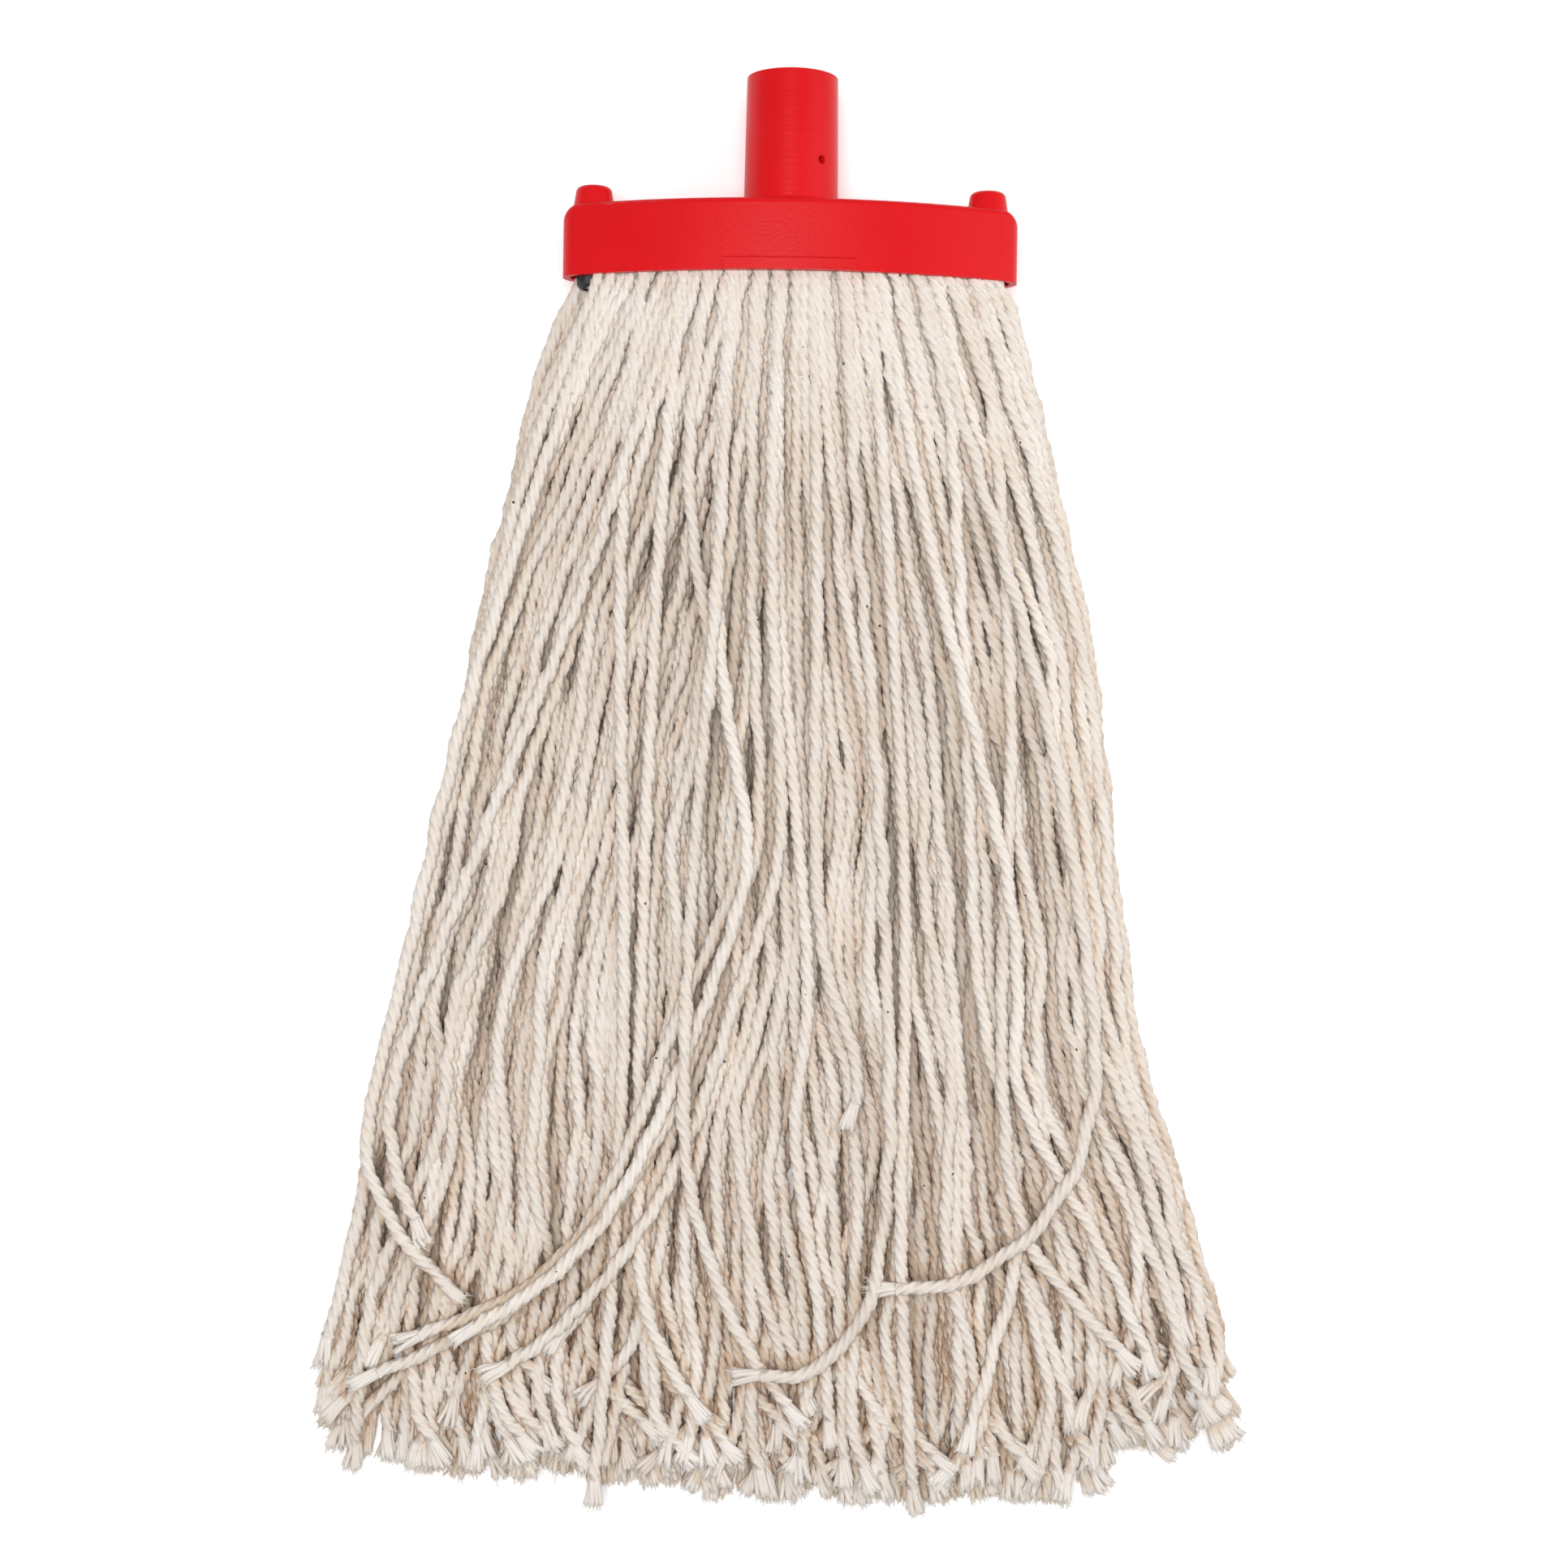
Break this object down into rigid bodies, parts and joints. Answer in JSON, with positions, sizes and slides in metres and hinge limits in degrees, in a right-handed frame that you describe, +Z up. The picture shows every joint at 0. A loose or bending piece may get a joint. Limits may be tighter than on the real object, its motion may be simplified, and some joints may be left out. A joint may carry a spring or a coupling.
{
  "type": "string mop head",
  "caption": "Flat clamp-type mop head with a round handle socket and a skirt of twisted cotton yarn folded over an inner clamp bar.",
  "frame": {"origin": "centre of the footprint of the mop head lying flat, on the table", "axes": "+Z up from the table, +Y from the yarn tips to the handle socket, +X to the right seen from above with the socket at the top"},
  "size_m": [0.3288, 0.51, 0.0456],
  "materials": {
    "cap_plastic": "semi-gloss moulded polypropylene, red",
    "bar_plastic": "matt black moulded plastic",
    "screw_steel": "bright zinc plating",
    "cotton_yarn": "undyed twisted cotton, matt and fuzzy"
  },
  "bodies": {
    "lower_lay": {"lower_hank_1": "cotton_yarn", "lower_hank_2": "cotton_yarn", "lower_hank_3": "cotton_yarn", "lower_hank_4": "cotton_yarn", "lower_hank_5": "cotton_yarn", "lower_hank_6": "cotton_yarn", "lower_hank_7": "cotton_yarn", "lower_hank_8": "cotton_yarn"},
    "upper_lay": {"upper_hank_1": "cotton_yarn", "upper_hank_2": "cotton_yarn", "upper_hank_3": "cotton_yarn", "upper_hank_4": "cotton_yarn", "upper_hank_5": "cotton_yarn", "upper_hank_6": "cotton_yarn", "upper_hank_7": "cotton_yarn", "upper_hank_8": "cotton_yarn"},
    "head": {"head_cap": "cap_plastic", "clamp_bar": "bar_plastic", "clamp_screw_left": "screw_steel", "clamp_screw_right": "screw_steel", "yarn_fold_1": "cotton_yarn", "yarn_fold_2": "cotton_yarn", "yarn_fold_3": "cotton_yarn", "yarn_fold_4": "cotton_yarn", "yarn_fold_5": "cotton_yarn", "yarn_fold_6": "cotton_yarn", "yarn_fold_7": "cotton_yarn", "yarn_fold_8": "cotton_yarn"}
  },
  "joints": [
    {"name": "head_tilt", "type": "hinge", "parent": "lower_lay", "child": "head", "pos_m": [0, 0.1657, 0.0228], "axis": [1, 0, 0], "range_deg": [0, 75]},
    {"name": "upper_lay_lift", "type": "hinge", "parent": "lower_lay", "child": "upper_lay", "pos_m": [0, 0.1057, 0.023], "axis": [-1, 0, 0], "range_deg": [0, 60]}
  ]
}
